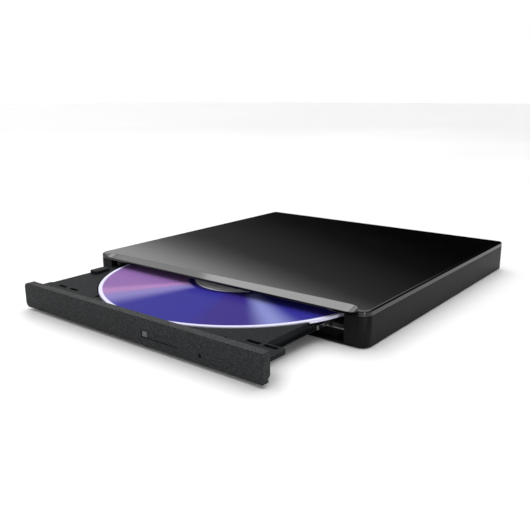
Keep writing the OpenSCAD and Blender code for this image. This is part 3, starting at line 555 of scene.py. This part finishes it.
def build_tray_ribs():
    """Fine upright ribs on the inner face of the two raised tabs at the tray's left edge."""
    x = TRAY_LOW.x + 1.0 * MM + 4.4 * MM
    top = TRAY_HIGH.z - 0.1 * MM
    levels = ((top - 1.0 * MM, 1.0), (top - 0.2 * MM, 1.0), (top, RIB_TIP_SIZE))
    bm = bmesh.new()
    for first, last in RIB_ROWS:
        count = int((last - first) / RIB_PITCH)
        for i in range(count + 1):
            y = BEZEL_LOW.y + (first + (last - first) * i / count) * MM
            tube(bm, [[(x + px * MM * k, y + (py * RIB_WIDENING) * MM * k, z) for px, py in RIB_OUTLINE]
                      for z, k in levels])
    add_piece("tray_tab_ribs", mesh_from("tray_tab_ribs", bm), "tray_grey", "tray_unit")


# ---------------------------------------------------------------- cable and springs


def build_flex_cable():
    """The flat ribbon in two halves that meet at the tip of its loop.

    The lower half goes from the case's end to the tip, and the upper half from the tip to the tray's end."""
    low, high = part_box("flex_cable")
    radius = (high.z - low.z) / 2
    thick = 0.2 * MM
    bend_y = low.y + radius
    upper_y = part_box("flex_socket")[1].y
    run_steps, turn_steps = 24, 8
    path = [(high.y + (bend_y - high.y) * i / run_steps, low.z + thick / 2) for i in range(run_steps)]
    turn_r = radius - thick / 2
    for i in range(2 * turn_steps + 1):
        a = math.radians(-90 - 90 * i / turn_steps)
        path.append((bend_y + turn_r * math.cos(a), low.z + radius + turn_r * math.sin(a)))
    path += [(bend_y + (upper_y - bend_y) * i / run_steps, high.z - thick / 2)
             for i in range(1, run_steps + 1)]
    rings = []
    for i, (y, z) in enumerate(path):
        before, after = path[max(i - 1, 0)], path[min(i + 1, len(path) - 1)]
        way = Vector((0, after[0] - before[0], after[1] - before[1])).normalized()
        side = Vector((0, -way.z, way.y)) * thick / 2
        rings.append([
            (low.x, y + side.y, z + side.z), (high.x, y + side.y, z + side.z),
            (high.x, y - side.y, z - side.z), (low.x, y - side.y, z - side.z),
        ])
    tip = run_steps + turn_steps
    tip_y = path[tip][0]
    reach = upper_y - tip_y
    halves = (("flex_ribbon_lower", rings[:tip + 1], reach), ("flex_ribbon_upper", rings[tip:], -reach))
    for name, part, to_start in halves:
        bm = bmesh.new()
        tube(bm, part)
        half = add_piece(name, mesh_from(name, bm), "flex_film", None, ["flex_cable"])
        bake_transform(half)


def build_eject_spring():
    """The push-out spring as round wire."""
    low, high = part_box("eject_spring")
    middle = (low + high) / 2
    wire = 0.15 * MM
    coil_r = (high.x - low.x) / 2 - wire
    turns, per_turn, sides = 7, 24, 10
    count = turns * per_turn
    bm = bmesh.new()
    rings = []
    for i in range(count + 1):
        a = 2 * math.pi * i / per_turn
        y = low.y + wire + (high.y - low.y - 2 * wire) * i / count
        outward = Vector((math.cos(a), 0, math.sin(a)))
        centre = Vector((middle.x, y, middle.z)) + outward * coil_r
        rings.append([
            centre + outward * wire * math.cos(b) + Vector((0, wire * math.sin(b), 0))
            for b in (2 * math.pi * j / sides for j in range(sides))
        ])
    tube(bm, rings)
    spring = add_piece("push_out_coil", mesh_from("push_out_coil", bm), "spring_wire", "tray_unit",
                       ["eject_spring"])
    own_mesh(spring)


build_top_cover()
build_disc()
build_eject_mark()
build_tray_ribs()
build_flex_cable()
build_eject_spring()

# How wide the rounding of each CAD node's edges is, in millimetres
EDGE_WIDTHS = {
    0.3: ["bottom_cover", "bezel"],
    0.2: ["tray", "eject_button", "led_window", "rubber_feet", "right_rail_guide", "left_rail_guide"],
    0.1: ["chassis_cover", "chassis_base", "left_rail", "right_rail", "turntable_hub", "turntable_pad",
          "usb_socket_shell", "usb_socket_insert", "sata_plug", "pickup_cover", "tray_shield"],
}
for edge, names in EDGE_WIDTHS.items():
    for name in names:
        soften(name, edge)

# ---------------------------------------------------------------- camera, floor and light


# The camera's place from the middle of the case's front edge on the table, in metres, and its turn
CAMERA_PLACE = (0.17258, -0.18311, 0.0854)
CAMERA_TURN = (75.04, 0.213, 37.783)


def add_to_scene(thing):
    bpy.context.scene.collection.objects.link(thing)
    return thing


def add_camera():
    data = bpy.data.cameras.new("camera")
    data.sensor_width = 36
    data.lens = 43.6
    data.shift_x = -0.0094
    data.shift_y = 0.0031
    data.clip_start = 0.01
    camera = add_to_scene(bpy.data.objects.new("camera", data))
    camera.location = (CASE_MID_X + CAMERA_PLACE[0], CASE_LOW.y + CAMERA_PLACE[1], CAMERA_PLACE[2])
    camera.rotation_euler = [math.radians(angle) for angle in CAMERA_TURN]
    bpy.context.scene.camera = camera


def add_floor():
    half = 6
    mesh = bpy.data.meshes.new("floor")
    corners = [(-half, -half, 0), (half, -half, 0), (half, half, 0), (-half, half, 0)]
    mesh.from_pydata(corners, [], [(0, 1, 2, 3)])
    floor = add_to_scene(bpy.data.objects.new("floor", mesh))
    g = Graph("floor_white", color=(0.92, 0.92, 0.92), spec=0.3)
    g.link(g.ramp(g.noise(3.0), [(0.3, 0.3), (0.7, 0.4)]), "Roughness")
    mesh.materials.append(g.material)


def add_area_light(name, place, target, size, power):
    data = bpy.data.lights.new(name, "AREA")
    data.shape = "RECTANGLE"
    data.size, data.size_y = size
    data.energy = power
    lamp = add_to_scene(bpy.data.objects.new(name, data))
    lamp.location = place
    lamp.rotation_euler = (Vector(target) - Vector(place)).to_track_quat("-Z", "Y").to_euler()


# How high the white goes above the horizon, as the height of a unit direction, and how far it fades
HORIZON_GLOW = 0.137
HORIZON_FADE = 0.006
# Which way the studio above it grows lighter: mostly up, and a little along the camera's left
LEAN_YAW = math.radians(37.8)
LEAN = 0.35
# The brightness of that studio along the leaning direction
STUDIO = [
    (0.0, 0.0), (0.13, 0.001), (0.17, 0.015), (0.197, 0.05), (0.238, 0.11), (0.257, 0.3),
    (0.287, 0.95), (0.33, 1.0), (0.42, 0.4), (1.0, 0.5),
]


def add_world():
    """White all round up to the horizon, and above it a studio that is dark low down on the right
    and grows lighter upwards and to the left, so that the gloss has something to show."""
    world = bpy.data.worlds.new("studio")
    bpy.context.scene.world = world
    world.use_nodes = True
    tree = world.node_tree
    shade = tree.nodes["Background"]
    way = tree.nodes.new("ShaderNodeTexCoord").outputs["Generated"]
    lean = Vector((-math.cos(LEAN_YAW) * LEAN, -math.sin(LEAN_YAW) * LEAN, 1)).normalized()

    def link_ramp(source, stops):
        """Grey levels at stops along the source, which run from 0 to 1."""
        ramp = tree.nodes.new("ShaderNodeValToRGB")
        elements = ramp.color_ramp.elements
        elements[0].color = (*[stops[0][1]] * 3, 1)
        elements[-1].color = (*[stops[-1][1]] * 3, 1)
        for at, value in stops[1:-1]:
            elements.new(at).color = (*[value] * 3, 1)
        tree.links.new(source, ramp.inputs["Fac"])
        return ramp.outputs["Color"]

    dot = tree.nodes.new("ShaderNodeVectorMath")
    dot.operation = "DOT_PRODUCT"
    dot.inputs[1].default_value = lean
    tree.links.new(way, dot.inputs[0])
    above = link_ramp(dot.outputs["Value"], STUDIO)
    split = tree.nodes.new("ShaderNodeSeparateXYZ")
    tree.links.new(way, split.inputs[0])
    low = link_ramp(split.outputs["Z"], [
        (0.0, 1.0), (HORIZON_GLOW, 1.0), (HORIZON_GLOW + HORIZON_FADE, 0.0), (1.0, 0.0)])
    both = tree.nodes.new("ShaderNodeMix")
    both.data_type = "RGBA"
    tree.links.new(low, both.inputs["Factor"])
    tree.links.new(above, both.inputs[6])
    both.inputs[7].default_value = (1, 1, 1, 1)
    tree.links.new(both.outputs[2], shade.inputs["Color"])
    shade.inputs["Strength"].default_value = 1.0


def add_sun():
    """A very wide overhead light, which gives the soft shadow on the table."""
    data = bpy.data.lights.new("overhead", "SUN")
    data.energy = 2.35
    data.angle = math.radians(75)
    lamp = add_to_scene(bpy.data.objects.new("overhead", data))
    lamp.rotation_euler = (math.radians(-14), math.radians(-8), 0)


bpy.context.scene.view_settings.view_transform = "Standard"
add_camera()
add_floor()
add_world()
add_sun()
add_area_light("band", (-0.70, 0.50, 0.78), (0, -0.03, 0.01), (0.75, 0.5), 1.8)
add_area_light("pillar", (0.62, -0.52, 0.10), (0.07, -0.04, 0.008), (0.08, 0.3), 2)
